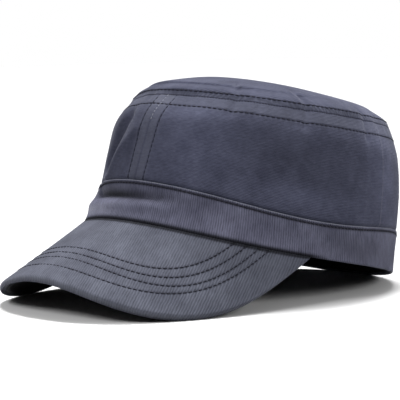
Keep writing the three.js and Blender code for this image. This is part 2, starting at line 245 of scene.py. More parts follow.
class SewingSizes(bpy.types.PropertyGroup):
    """Sizes of seams, stitches and the gaps between pieces"""

    gap: length("Gap", "Clearance between neighbouring pieces", 0.3)
    lap: length("Lap", "How far two sewn pieces of the crown run into each other", 0.3)
    ditch_depth: length("Ditch depth", "Depth of a seam's ditch", 0.15)
    ditch_width: length("Ditch width", "Half width of a seam's ditch", 0.7)
    row_away: length("Row distance", "Distance of the front seam's stitch rows from it", 6.4)
    row_above: length("Upper row", "Distance of the stitch row above the top seam", 3.6)
    row_below: length("Lower row", "Distance of the stitch row below the top seam", 8.3)
    edge_row: length("Edge row", "Distance of the band's stitch row from its upper edge", 2)
    allowance: length("Allowance", "How far the doubled cloth beside a seam stands up", 0.16)
    groove_depth: length("Groove depth", "Depth that stitches pull into the cloth", 0.28)
    groove_width: length("Groove width", "Half width of the groove along a stitch row", 0.6)
    pucker_depth: length("Pucker depth", "Height of the ripples along a seam", 0.3)
    pucker_reach: length("Pucker reach", "How far the ripples run out from a seam", 7)
    pitch: length("Stitch pitch", "Distance from one stitch to the next", 3.1)
    stitch: length("Stitch length", "Length of one stitch", 2.3)
    thread: length("Thread", "Radius of the thread", 0.36)


class RestPlace(bpy.types.PropertyGroup):
    """How the cap lies at rest"""

    lean: turn("Lean", "How far the cap leans back", 13.9235)
    lift: length("Lift", "Height of the band's own origin over the surface", 23.103)
    forth: length("Forth", "How far the leaned cap is moved to the back", 25.799)


class ClothColours(bpy.types.PropertyGroup):
    """Colours of the cloths and the thread"""

    # Crown, band and peak are one cloth in three tones, the band lightest and the crown darkest: partly the
    # run of each piece's twill, partly painted light and shade
    crown: colour("Crown", "Twill of the crown", (0.064, 0.068, 0.106))
    band: colour("Band", "Twill of the band", (0.11, 0.112, 0.162))
    peak: colour("Peak", "Twill of the peak", (0.078, 0.083, 0.11))
    # Worn: twill rubbed lighter along its edges, partly real wear and partly a painted highlight; the pale
    # thread is this colour too
    worn_and_painted_highlight: colour("Worn", "Twill rubbed lighter along its edges", (0.24, 0.25, 0.3))
    thread: colour("Thread", "Sewing thread", (0.012, 0.012, 0.02))
    # Lining: near black, partly the cloth's own dark tone and partly painted shade inside the cap and under
    # the peak
    lining: colour("Lining", "Sweatband and under cover", (0.006, 0.006, 0.008))
    floor: colour("Floor", "Pale floor as it is seen", (0.9, 0.9, 0.9))
    floor_thrown: colour("Floor, thrown", "Light that the floor throws back up", (0.22, 0.22, 0.22))


class StageSizes(bpy.types.PropertyGroup):
    """Camera, lights and floor"""

    azimuth: turn("Azimuth", "Turn of the camera round the cap from its front", 48.065)
    elevation: turn("Elevation", "Rise of the camera", 5.139)
    roll: turn("Roll", "Roll of the camera", -0.962)
    distance: length("Distance", "Distance from the camera to the middle of the cap", 1151.75)
    target_back: length("Target back", "How far back the middle of the picture lies", 26.254)
    target_height: length("Target height", "Height of the middle of the picture", 60)
    aside: length("Aside", "How far the camera stands aside", -25.399)
    below: length("Below", "How far the camera stands below its line", -6.425)
    lens: number("Lens", "Focal length on a sensor 36 mm wide, in mm", 170.7)
    floor_half: length("Floor half size", "Half the side of the floor", 6000)
    light_low: number("Light low", "Strength of the surround at the horizon", 0)
    light_high: number("Light high", "Strength of the surround overhead", 0.38)


class CapSettings(bpy.types.PropertyGroup):
    """Everything that can be changed about the cap and its stage"""

    band: PointerProperty(type=BandSizes)
    crown: PointerProperty(type=CrownSizes)
    peak: PointerProperty(type=PeakSizes)
    sewing: PointerProperty(type=SewingSizes)
    rest: PointerProperty(type=RestPlace)
    colours: PointerProperty(type=ClothColours)
    stage: PointerProperty(type=StageSizes)


# Surfaces of the cloth, in the band's own frame


def waved(of, line, turns):
    """Height of a line: of * (mean + once cos t + twice cos 2t + thrice cos 3t + fourth cos 4t)."""
    terms = (line.mean, line.once, line.twice, line.thrice, line.fourth)
    return of * sum(term * np.cos(order * turns) for order, term in enumerate(terms))


def seam_height(cap, turns):
    """Height of the seam under the top: its waved line less the sag, d exp(-((t - t0) / w)^2)."""
    away = (turns - cap.crown.slump_turn) / cap.crown.slump_spread
    return waved(cap.crown.height, TOP_SEAM, turns) - cap.crown.slump_depth * np.exp(-away * away)


def section_points(cap, index, turns):
    """Points of one section at each turn t: x = W p sin t, y = s - L p cos t, z between the waved lines.
    W and L are the band's half sizes, p the section's plan and s its shift."""
    half_size = (cap.band.half_width + cap.band.half_length) / 2
    seam = WALL_SECTIONS[TOP_SEAM_AT]
    top = seam_height(cap, turns)
    if index <= TOP_SEAM_AT:
        row = WALL_SECTIONS[index]
        plan, shift = row.plan, row.shift * cap.band.half_length
        heights = (waved(cap.band.height, BAND_EDGE, turns), waved(cap.band.height, BAND_TOP, turns), top)
        lower = min(int(row.line), 1)
        height = heights[lower] + (heights[lower + 1] - heights[lower]) * (row.line - lower)
    else:
        row = TOP_SECTIONS[index - TOP_SEAM_AT - 1]
        plan = (seam.plan - row.inset * cap.crown.shoulder_reach / half_size) * (1 - row.middle)
        shift = seam.shift * cap.band.half_length - row.lean * cap.crown.top_lean
        height = cap.crown.height + (top - cap.crown.height) * row.wave
        height = height + row.rise * cap.crown.shoulder_rise + row.dome * cap.crown.dome_rise
    x = cap.band.half_width * plan * np.sin(turns)
    y = shift - cap.band.half_length * plan * np.cos(turns)
    return np.stack([x, y, height + 0 * turns], axis=-1)


def plain(cap, turns, sections):
    """Smooth surface before any fold: at each turn, a Catmull-Rom curve through the section points."""
    turns, sections = np.broadcast_arrays(turns, sections)
    knots = np.stack([section_points(cap, index, turns) for index in range(CENTRE_AT + 1)])
    index = np.clip(np.floor(sections), 0, CENTRE_AT - 1).astype(int)
    part = (sections - index)[..., None]

    def knot(offset):
        rows = np.clip(index + offset, 0, CENTRE_AT)[None, ..., None]
        return np.take_along_axis(knots, np.broadcast_to(rows, (1, *knots.shape[1:])), axis=0)[0]

    before, start, end, after = knot(-1), knot(0), knot(1), knot(2)
    bend = 2 * before - 5 * start + 4 * end - after
    twist = 3 * (start - end) + after - before
    return start + 0.5 * part * (end - before + part * (bend + part * twist))


def unit(vectors):
    """Vectors divided by their own lengths."""
    return vectors / np.maximum(np.linalg.norm(vectors, axis=-1, keepdims=True), 1e-12)


def outward(cap, turns, sections):
    """Outward normal: the cross product of the slopes round the cap and up it, level at the band's edge and
    straight up at the centre of the top."""
    step = 0.01
    turns, sections = np.broadcast_arrays(turns, sections)
    round_cap = plain(cap, turns + step, sections) - plain(cap, turns - step, sections)
    up_cap = plain(cap, turns, sections + step) - plain(cap, turns, np.maximum(sections - step, 0))
    normal = np.cross(round_cap, up_cap)
    normal[..., 2] = np.where(sections <= 0, 0, normal[..., 2])
    normal = unit(normal)
    return np.where((sections > CENTRE_AT - 0.5)[..., None], (0.0, 0.0, 1.0), normal)


def fold_depth(cap, turns, height):
    """Depth of all folds: the sum of d exp(-(a / w)^2), with a the distance to each fold's line."""
    per_degree = math.radians(1) * (cap.band.half_width + cap.band.half_length) / 2
    degrees = np.degrees(turns)
    depth = 0
    for fold in FOLDS:
        run = (fold.turns[1] - fold.turns[0]) * per_degree
        climb = (fold.rises[1] - fold.rises[0]) * cap.crown.height
        along = (degrees - fold.turns[0]) * per_degree
        above = height - fold.rises[0] * cap.crown.height
        share = np.clip((along * run + above * climb) / (run * run + climb * climb), 0, 1)
        away = np.hypot(along - share * run, above - share * climb) / (fold.spread * cap.band.height)
        depth = depth + fold.depth * cap.crown.fold_depth * np.exp(-away * away)
    return depth


def lengths_up(cap):
    """Sections from the band's edge to the centre, and the length of cloth up to each, at the left."""
    sections = np.linspace(0, CENTRE_AT, 40 * CENTRE_AT + 1)
    points = plain(cap, np.full(sections.shape, math.pi / 2), sections)
    strides = np.linalg.norm(np.diff(points, axis=0), axis=-1)
    return sections, np.concatenate([[0], np.cumsum(strides)])


def length_at(cap, sections):
    """Length of cloth from the band's edge up to each section, read between the known ones."""
    return np.interp(sections, *lengths_up(cap))


def section_at(cap, lengths):
    """Section at each length of cloth up from the band's edge, read between the known ones."""
    return np.interp(lengths, *reversed(lengths_up(cap)))


def speed_round(cap, turns, sections):
    """Length of cloth for each radian of turn: p hypot(W cos t, L sin t), with p the plan."""
    plans = [row.plan for row in WALL_SECTIONS]
    plan = np.interp(sections, range(len(plans)), plans)
    return plan * np.hypot(cap.band.half_width * np.cos(turns), cap.band.half_length * np.sin(turns))


def front_seam(cap, sections):
    """Turn of the seam down the middle of the front, which leans from its low turn to its high one."""
    climb = (sections - BAND_TOP_AT) / (TOP_SEAM_AT - BAND_TOP_AT)
    low, high = cap.crown.front_seam_low, cap.crown.front_seam_high
    return low + (high - low) * np.clip(climb, -0.2, 1.2)


def bump(distance, width):
    """A bell: exp(-(distance / width)^2)."""
    return np.exp(-((distance / width) ** 2))


def plateau(distance, reach, edge):
    """A flat-topped ridge that ends at a reach: (1 + tanh((reach - |distance|) / edge)) / 2."""
    return 0.5 * (1 + np.tanh((reach - np.abs(distance)) / edge))


def seam_relief(sewing, away, above, below):
    """Relief of a seam at a distance from it, positive above: a bell-shaped ditch, the flat ridge of doubled
    cloth beside it and the bell-shaped groove of a stitch row on each side."""
    row = np.where(away > 0, above, below)
    relief = -sewing.ditch_depth * bump(away, sewing.ditch_width)
    relief = relief + sewing.allowance * plateau(away, row + 2 * sewing.groove_width, sewing.groove_width)
    return relief - sewing.groove_depth * bump(np.abs(away) - row, sewing.groove_width)


def signed(turns):
    """Turns brought between half a turn back and half a turn on: the angle of exp(i t)."""
    return np.angle(np.exp(1j * turns))


def crown_seams(cap, turns, sections):
    """Relief of the crown's seams, by their distances along the cloth: the top seam, the front seam and the
    ridges of the two back seams."""
    sewing = cap.sewing
    above = length_at(cap, sections) - length_at(cap, TOP_SEAM_AT)
    relief = seam_relief(sewing, above, sewing.row_above, sewing.row_below)
    on_wall = np.clip((TOP_SEAM_AT + 0.02 - sections) * 50, 0, 1)
    speed = speed_round(cap, turns, sections)
    away = signed(turns - front_seam(cap, sections)) * speed
    relief = relief + on_wall * seam_relief(sewing, away, sewing.row_away, sewing.row_away)
    for seam in (cap.crown.back_seam, -cap.crown.back_seam):
        ridge = bump(signed(turns - seam) * speed, 1.3 * sewing.ditch_width)
        relief = relief + on_wall * sewing.ditch_depth * ridge
    return relief


def ripples_at(turns):
    """Ripples of a sewn seam: the sum of s sin(n t + phase), from -1 to 1."""
    return sum(row.share * np.sin(row.count * turns + row.phase) for row in RIPPLES)


def crown_relief(cap, turns, sections):
    """Relief of the crown's cloth: its seams, ripples that die out away from the top seam, and slow waves,
    each a sine round the cap and up it."""
    reach = bump(length_at(cap, sections) - length_at(cap, TOP_SEAM_AT), cap.sewing.pucker_reach)
    waves = sum(row.share * np.sin(row.round * turns + row.up * sections + row.phase) for row in SLOW_WAVES)
    fade_sections = 2.5
    fade = bump(np.maximum(sections - TOP_SEAM_AT, 0), fade_sections) * np.clip(sections - BAND_TOP_AT, 0, 1)
    relief = crown_seams(cap, turns, sections) + cap.sewing.pucker_depth * ripples_at(turns) * reach
    return relief + cap.crown.wave_depth * waves * fade


def crown_set_in(cap, sections):
    """How far the crown's cloth stands in: the set-in at the band's top, none a section above it."""
    return cap.crown.set_in * np.clip(BAND_TOP_AT + 1 - sections, 0, 1)


def cloth(cap, turns, sections, inwards, relief=0.0):
    """Point of the cloth: the plain surface moved out along its normal by folds and relief, less inwards."""
    base = plain(cap, turns, sections)
    rise = fold_depth(cap, turns, base[..., 2]) + relief - inwards
    return base + outward(cap, turns, sections) * rise[..., None]


def at_rest(cap, points):
    """Points leaned back by a: y' = y cos a + z sin a + forth, z' = max(z cos a - y sin a + lift, 0)."""
    cosine, sine = math.cos(cap.rest.lean), math.sin(cap.rest.lean)
    x, y, z = np.moveaxis(points, -1, 0)
    height = z * cosine - y * sine + cap.rest.lift
    return np.stack([x, y * cosine + z * sine + cap.rest.forth, np.maximum(height, 0)], axis=-1)


# Meshes from grids of points


def loop_faces(columns, rows, wrapped):
    """Corner columns and rows of the quads of a grid whose rows close into a loop, facing out."""
    spans = columns if wrapped else columns - 1
    column, row = np.meshgrid(np.arange(spans), np.arange(rows), indexing="ij")
    corner_columns = np.stack([column, column + 1, column + 1, column], axis=-1).reshape(-1, 4)
    corner_rows = np.stack([row, row, row + 1, row + 1], axis=-1).reshape(-1, 4)
    return corner_columns, corner_rows


def add_quads(name, points, ids, weave, wear, material):
    """A smooth mesh of quads given by point numbers, with weave coordinates at corners, and at points wear
    with its painted shade and the patches' painted light and shade. A repeated corner, a face with fewer
    than three corners and an unused point are left out."""
    kept = ids != np.roll(ids, 1, axis=1)
    kept &= kept.sum(axis=1, keepdims=True) > 2
    counts = kept.sum(axis=1)
    counts = counts[counts > 0]
    used, corners = np.unique(ids[kept], return_inverse=True)
    mesh = bpy.data.meshes.new(name)
    mesh.vertices.add(len(used))
    mesh.vertices.foreach_set("co", points[used].ravel())
    mesh.loops.add(len(corners))
    mesh.loops.foreach_set("vertex_index", corners.astype(np.int32))
    mesh.polygons.add(len(counts))
    mesh.polygons.foreach_set("loop_start", (np.cumsum(counts) - counts).astype(np.int32))
    mesh.polygons.foreach_set("use_smooth", np.ones(len(counts), dtype=bool))
    mesh.update(calc_edges=True)
    layer = mesh.uv_layers.new(name="weave")
    layer.data.foreach_set("uv", weave[kept].astype(np.float32).ravel())
    # Point attributes: wear with its painted shade and highlights, and the patches' painted light and shade
    for kind, values in zip(("wear", "fade"), wear[used].T):
        layer = mesh.attributes.new(kind, "FLOAT", "POINT")
        layer.data.foreach_set("value", values.astype(np.float32))
    mesh.materials.append(material)
    mesh.validate()
    piece = bpy.data.objects.new(name, mesh)
    bpy.context.collection.objects.link(piece)
    return piece


def add_shell(name, points, weave, wear, material, wrapped=False, poles=()):
    """A closed shell from columns of looped rows, up the outside and down the inside. A wrapped grid closes
    on its first column, any other is closed at its ends, and a pole row shrinks to one point."""
    columns, rows = points.shape[:2]
    corner_columns, corner_rows = loop_faces(columns, rows, wrapped)
    if not wrapped:
        row = np.arange(rows // 2 - 1)
        across = np.stack([row, row + 1, rows - 2 - row, rows - 1 - row], axis=-1)
        corner_columns = np.concatenate([corner_columns, 0 * across, 0 * across + columns - 1])
        corner_rows = np.concatenate([corner_rows, across[:, (0, 3, 2, 1)], across])
    numbers = np.arange(columns * rows).reshape(columns, rows)
    numbers[:, list(poles)] = numbers[0, list(poles)]
    ids = numbers[corner_columns % columns, corner_rows % rows]
    uv = weave[corner_columns, corner_rows % rows]
    if wear.ndim < 3:
        wear = np.stack([wear, 0 * wear], axis=-1)
    return add_quads(name, points.reshape(-1, 3), ids, uv, wear.reshape(-1, 2), material)


def settle(piece, node):
    """Rides the piece on the cap's body in place of its CAD node."""
    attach(piece, "root")
    if node:
        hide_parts(node)


def add_piece(cap, name, points, weave, wear, material, slot, **closing):
    """A cloth piece at rest, in place of the CAD node of its own name."""
    settle(add_shell(name, at_rest(cap, points), weave, wear, material, **closing), name)


def paired(first, second):
    """Two grids brought to one shape and laid side by side."""
    return np.stack(np.broadcast_arrays(first, second), axis=-1)


def turns_round(count):
    """Turns all round the cap, one under the other."""
    return np.linspace(-math.pi, math.pi, count + 1)[:-1, None]


def band_weave(cap, turns, up):
    """Weave places of a strip all round the cap, with the first column again at the end."""
    return paired(np.append(turns, math.pi)[:, None] * cap.band.half_length, up)


def stepped(start, stop, strides, places, radian=1.0):
    """Numbers from start to stop, a coarse stride apart, and a fine one near the given places: lengths, or
    turns where the length of a radian is given."""
    coarse, fine, reach = (stride * MM / radian for stride in strides)
    steps = [np.linspace(start, stop, max(int(round((stop - start) / coarse)), 1) + 1)]
    for place in places:
        near = np.arange(place - reach, place + reach + fine / 2, fine)
        steps.append(near[(near > start) & (near < stop)])
    merged = np.unique(np.concatenate(steps))
    keep = np.concatenate([[True], np.diff(merged) > 0.4 * fine])
    keep[-1] = True
    return merged[keep]


def shell_rows(sections, wall):
    """Looped rows of a cloth, sections up the outside and down the inside, and how far in each lies."""
    middle = np.ones(len(sections) - 2)
    inwards = np.concatenate([[0.5], 0 * middle, [0.5], middle]) * wall
    return np.concatenate([sections, sections[-2:0:-1]]), inwards


def build_wall(cap, name, start, stop, material):
    """One panel of the crown's wall between two seams."""
    radian = cap.band.half_length
    lap = cap.sewing.lap / (radian * WALL_SECTIONS[TOP_SEAM_AT].plan)
    turns = stepped(start - lap, stop + lap, WALL_ROUND, (start, stop, 0), radian)[:, None]
    foot = length_at(cap, BAND_TOP_AT) - cap.band.roll
    head = length_at(cap, TOP_SEAM_AT) + cap.sewing.lap
    up = stepped(foot, head, WALL_UP, (foot, head))
    sections, inwards = shell_rows(section_at(cap, up), cap.crown.wall)
    turns = turns + np.clip(1 - np.abs(turns) / cap.crown.back_seam, 0, 1) * front_seam(cap, sections)
    tuck_depth, tuck_sections = 1.6 * cap.band.roll, 0.07
    tuck = tuck_depth * bump(np.maximum(sections - BAND_TOP_AT, 0), tuck_sections)
    inwards = inwards + crown_set_in(cap, sections) + tuck
    points = cloth(cap, turns, sections, inwards, crown_relief(cap, turns, sections))
    weave = paired(turns * radian, length_at(cap, sections))
    add_piece(cap, name, points, weave, crown_wear_and_painted_shade(cap, turns, sections), material, "crown_twill")


def crown_wear_and_painted_shade(cap, turns, sections):
    """Wear and painted light and shade of the crown: the relief of its seams as a share of the groove depth,
    so that raised cloth is paler, partly rubbed wear and partly a painted highlight, and a ditch gets painted
    shade, with the patches' painted light and shade added."""
    share = crown_seams(cap, turns, sections) / cap.sewing.groove_depth
    return with_painted_light(cap, turns, sections, np.clip(np.where(share > 0, 0.3, 0.7) * share, -1, 1))


def with_painted_light(cap, turns, sections, wear):
    """Wear with its painted shade, and the painted light and shade of the patches: the sum of the patches'
    shares, each times a bell round the cap and a bell up it."""
    degrees = np.degrees(signed(turns))
    rise = plain(cap, turns, sections)[..., 2] / cap.crown.height
    fade = sum(row.share * bump(degrees - row.turn, row.turn_spread) * bump(rise - row.rise, row.rise_spread)
               for row in PAINTED_LIGHT_PATCHES)
    return np.stack([wear, fade], axis=-1)


def build_top(cap, material):
    """The top panel, from its seam over the shoulder to the centre of the dome."""
    turns = turns_round(CAP_COLUMNS)
    rim = length_at(cap, TOP_SEAM_AT) - cap.sewing.lap
    up = stepped(rim, length_at(cap, CENTRE_AT), TOP_UP, (rim,))
    sections, inwards = shell_rows(section_at(cap, up), cap.crown.wall)
    half = len(up)
    sections = np.insert(sections, half, sections[half - 1])
    inwards = np.insert(inwards, half, cap.crown.wall)
    inwards[half - 1] = 0
    points = cloth(cap, turns, sections, inwards, crown_relief(cap, turns, sections))
    weave = np.concatenate([points[..., :2], points[:1, :, :2]])
    wear = crown_wear_and_painted_shade(cap, turns, sections)
    add_piece(cap, "top_panel", points, weave, wear, material, "crown_twill", wrapped=True,
              poles=(half - 1, half))


def build_band(cap, material):
    """The band: a folded strip with a rolled upper edge and a row of stitches."""
    band, sewing = cap.band, cap.sewing
    turns = turns_round(CAP_COLUMNS)
    top = length_at(cap, BAND_TOP_AT)
    row = top - sewing.edge_row
    middle = band.wall / 2
    face_stop, inside_start, arc_step = top - 1.9 * band.roll, top - 2.4 * band.roll, 15
    fold = np.radians(np.arange(-90, -180, -arc_step))
    face = stepped(middle, face_stop, BAND_UP, (row,))
    roll = np.radians(np.arange(205, -21, -arc_step))
    inside = np.linspace(inside_start, middle, 12)
    up = np.concatenate([middle * (1 + np.sin(fold)), face, top - band.roll * (1 - np.sin(roll)), inside])
    inwards = np.concatenate([middle * (1 + np.cos(fold)), 0 * face, band.roll * (0.75 + np.cos(roll)),
                              0 * inside + band.wall])
    sections = section_at(cap, up)
    groove = sewing.groove_depth * bump(up - row, sewing.groove_width)
    ripples = ripples_at(turns)
    ripple_reach = 5 * MM
    relief = 0.5 * sewing.pucker_depth * ripples * bump(up - top, ripple_reach) - groove
    outside = inwards < band.wall
    # The rolled upper edge is paler: partly rubbed wear, partly a painted highlight
    worn_and_painted_highlight = bump(up - top, 0.7 * band.roll) * outside
    # Painted shade along the band's foot, where it meets the peak
    painted_shade_at_foot = plateau(up, 0.8 * band.wall, 0.25 * band.wall) * outside
    over_peak = np.clip((1.1 * cap.peak.end_turn - np.abs(turns)) * 8, 0, 1)
    # Painted shade along the band's stitch groove
    painted_shade = bump(up - row, 1.4 * sewing.groove_width)
    # Ripples paint the rolled edge paler and darker by turns, and the patches' painted light and shade is
    # added
    wear = with_painted_light(cap, turns, sections, worn_and_painted_highlight + 0.25 * ripples * worn_and_painted_highlight - over_peak * painted_shade_at_foot - 0.9 * painted_shade)
    points = cloth(cap, turns, sections, inwards, relief)
    add_piece(cap, "band", points, band_weave(cap, turns, up), wear, material, "band_twill", wrapped=True)


def build_sweatband(cap, material):
    """The sweatband inside the band, near black: its own dark cloth and painted shade."""
    band = cap.band
    turns = turns_round(SWEATBAND_COLUMNS)
    up = np.linspace(band.sweatband_raise, band.sweatband_raise + band.sweatband_height, 22)
    sections, inwards = shell_rows(section_at(cap, up), band.sweatband_wall)
    points = cloth(cap, turns, sections, band.wall + cap.sewing.gap + inwards)
    weave = band_weave(cap, turns, length_at(cap, sections))
    wear = np.zeros(points.shape[:2])
    add_piece(cap, "sweatband", points, weave, wear, material, "dark_lining", wrapped=True)


# The peak: a flat board bent round a straight direction. A flat place is an arc turn across it and a length
# along it.

Board = namedtuple("Board", "half_width radius along above set_back centre")


def peak_board(cap):
    """The bent board of the peak, with a radius of half width / sin(arch turn), placed so that its middle
    and its ends meet the band's edge."""
    peak = cap.peak
    half_width = cap.band.half_width * WALL_SECTIONS[0].plan * math.sin(peak.end_turn) + peak.overhang
    radius = half_width / math.sin(peak.arch_turn)
    along = np.array([0, -math.cos(peak.dip), -math.sin(peak.dip)])
    above = np.array([0, -math.sin(peak.dip), math.cos(peak.dip)])
    front = plain(cap, np.array(0.0), np.array(0.0))
    end = plain(cap, np.array(peak.end_turn), np.array(0.0))
    end_drop = radius * (1 - math.cos(peak.arch_turn)) * -above[1]
    set_back = (end[1] - front[1] - end_drop) / -along[1]
    centre = front - along * set_back - above * radius - np.array([0, 0, cap.sewing.gap])
    return Board(half_width, radius, along, above, set_back, centre)


def board_point(board, arcs, lengths, inwards, lift=0.0):
    """Point of the board: centre + (R - d)(sin a x + cos a above) + l along, raised by its lift."""
    radius = board.radius - inwards
    across = (radius * np.sin(arcs))[..., None] * np.array([1, 0, 0])
    rise = (radius * np.cos(arcs))[..., None] * board.above
    points = across + rise + np.asarray(lengths)[..., None] * board.along + board.centre
    points[..., 2] += lift
    return points


def seat_of(cap, board, turns):
    """Flat place of the board over each point of the band's edge, and how far that edge lies from it."""
    sections = np.zeros_like(turns)
    seat = plain(cap, turns, sections) + outward(cap, turns, sections) * cap.peak.seat_reach
    seat = seat - np.array([0, 0, cap.sewing.gap])
    arcs = np.arcsin(np.clip(seat[..., 0] / board.radius, -1, 1))
    arch = board.centre[1] + board.above[1] * board.radius * np.cos(arcs)
    lengths = (seat[..., 1] - arch) / board.along[1]
    lift = seat[..., 2] - board_point(board, arcs, lengths, 0 * arcs)[..., 2]
    return arcs, lengths, lift


def outline(board, shares, half_width, reach, power):
    """Superellipse: x = w sign(q) |sin(q pi/2)|^(2/n), l = h cos(q pi/2)^(2/n), q from -1 to 1."""
    angles = shares * math.pi / 2
    x = np.sign(shares) * half_width * np.abs(np.sin(angles)) ** (2 / power)
    return np.arcsin(x / board.radius), reach * np.maximum(np.cos(angles), 0) ** (2 / power)


def rim_outline(cap, board, shares):
    """Flat places of the peak's rim."""
    return outline(board, shares, board.half_width, board.set_back + cap.peak.reach, cap.peak.corner_power)


def flat_place(cap, board, shares, outs):
    """Flat place at a share of the way round: seat + (rim - seat) out, with out from 0 at the band to 1 at
    the rim, and the lift that brings the board to the band's edge, which falls off with (1 - out)^2."""
    seat_arcs, seat_lengths, lift = seat_of(cap, board, shares * cap.peak.end_turn)
    rim_arcs, rim_lengths = rim_outline(cap, board, shares)
    arcs = seat_arcs + (rim_arcs - seat_arcs) * outs
    return arcs, seat_lengths + (rim_lengths - seat_lengths) * outs, lift * (1 - outs) ** 2


def peak_point(cap, board, shares, outs, inwards):
    """Point of the peak at a share of the way round and from the band (0) to the rim (1)."""
    arcs, lengths, lift = flat_place(cap, board, shares, outs)
    return board_point(board, arcs, lengths, inwards, lift)


def peak_widths(cap, board, shares):
    """Width of the peak from the band to its rim at each share of the way round."""
    seats = peak_point(cap, board, shares, 0 * shares, 0 * shares)
    return np.linalg.norm(seats - peak_point(cap, board, shares, 0 * shares + 1, 0 * shares), axis=-1)


def row_outline(cap, board, row, count):
    """Flat places of one stitch row of the peak, as arcs and lengths."""
    reach = board.set_back + cap.peak.reach * (1 - row.front)
    return outline(board, np.linspace(-1, 1, count), board.half_width * (1 - row.side), reach, row.power)


def distance_to_path(places, path):
    """Shortest distance from each place to the points of a dense path, worked through in blocks."""
    flat, block = places.reshape(-1, 1, 2), 4000
    parts = [flat[start:start + block] - path for start in range(0, len(flat), block)]
    return np.concatenate([np.sqrt((part ** 2).sum(-1).min(-1)) for part in parts]).reshape(places.shape[:-1])


def peak_relief(cap, board, shares, outs):
    """Relief of the peak's upper cloth, a groove along each stitch row, and its flat places in metres."""
    arcs, lengths, _ = flat_place(cap, board, shares, outs)
    places = np.stack([arcs * board.radius, lengths], axis=-1)
    relief = np.zeros(places.shape[:-1])
    for row in PEAK_ROWS:
        row_arcs, row_lengths = row_outline(cap, board, row, GROOVE_POINTS)
        away = distance_to_path(places, np.stack([row_arcs * board.radius, row_lengths], axis=-1))
        relief -= cap.sewing.groove_depth * bump(away, cap.sewing.groove_width)
    return relief, places


def peak_flange(cap, turns):
    """Edges of the flange that is sewn in under the band, half the band's wall in from the band's edge."""
    sections = np.zeros_like(turns)
    upper = plain(cap, turns, sections) - outward(cap, turns, sections) * 0.5 * cap.band.wall
    return np.stack([upper + (0, 0, 0.1 * MM), upper - (0, 0, 0.5 * cap.peak.wall)], axis=1)


def build_peak(cap, material):
    """The stiff arched peak with its rounded rim, a sharper round under it, and the flange under the band."""
    peak = cap.peak
    board = peak_board(cap)
    shares = np.sin(np.linspace(-math.pi / 2, math.pi / 2, PEAK_COLUMNS))
    even, last = 0.55, 0.9995
    shares = (1 - even) * shares + even * np.linspace(-1, 1, PEAK_COLUMNS)
    shares[[0, -1]] = (-last, last)
    columns = shares[:, None]
    widths = peak_widths(cap, board, columns)
    rounds = np.minimum(peak.rim_round / widths, 0.45)
    under_share, under_round = 0.27, 0.8 * MM
    under = rounds * under_share
    face = np.linspace(0, 1, 96)[None, :-1]
    arc = np.radians(np.linspace(0, 90, 9))
    under_arc = np.radians(np.linspace(90, 0, 6))
    below = np.linspace(1, 0, 30)[None, 1:]
    outs = np.concatenate([face * (1 - rounds), 1 - rounds + rounds * np.sin(arc),
                           1 - under + under * np.sin(under_arc), below * (1 - under)], axis=1)
    fall = np.concatenate([0 * face[0], peak.rim_round * (1 - np.cos(arc)),
                           peak.wall - under_round * (1 - np.cos(under_arc)), 0 * below[0] + peak.wall])
    on_top = np.arange(outs.shape[1]) < face.shape[1]
    relief, weave = peak_relief(cap, board, columns, outs)
    points = peak_point(cap, board, columns, outs, fall - relief * on_top)
    # The rounded rim is paler: partly rubbed wear, partly a painted highlight
    rim_wear_and_painted_highlight = bump(fall - 0.4 * peak.rim_round, 0.35 * peak.rim_round) * 0.35
    # Painted shade in the peak's stitch grooves
    wear = relief / cap.sewing.groove_depth * 0.6 * on_top + rim_wear_and_painted_highlight
    # Painted shade where the peak runs in under the band
    seat_shade, seat_edge = 1.8 * MM, 0.5 * MM
    wear = wear - plateau(outs * widths, seat_shade, seat_edge) * on_top
    flange = peak_flange(cap, shares * peak.end_turn)
    points = np.concatenate([flange[:, :1], points, flange[:, 1:]], axis=1)
    weave, wear = (np.concatenate([grid[:, :1], grid, grid[:, -1:]], axis=1) for grid in (weave, wear))
    add_piece(cap, "peak", points, weave, wear, material, "peak_twill")


def build_under_cover(cap, material):
    """The cloth under the peak, near black: its own dark cloth and painted shade."""
    peak = cap.peak
    board = peak_board(cap)
    columns = np.linspace(-0.93, 0.93, COVER_COLUMNS)[:, None]
    widths = peak_widths(cap, board, columns)
    inset = peak.cover_inset / widths
    share, inwards = shell_rows(np.linspace(0, 1, 30), peak.cover_wall)
    outs = inset + (1 - 2 * inset) * share
    points = peak_point(cap, board, columns, outs, peak.wall + cap.sewing.gap + inwards)
    weave = paired(points[..., 0], widths * outs)
    add_piece(cap, "peak_under_cover", points, weave, np.zeros(outs.shape), material, "dark_lining")


# Stitches


def along_path(places, strides, values):
    """Values of a path at given lengths along it, axis by axis."""
    return np.stack([np.interp(places, strides, values[:, axis]) for axis in range(3)], axis=-1)


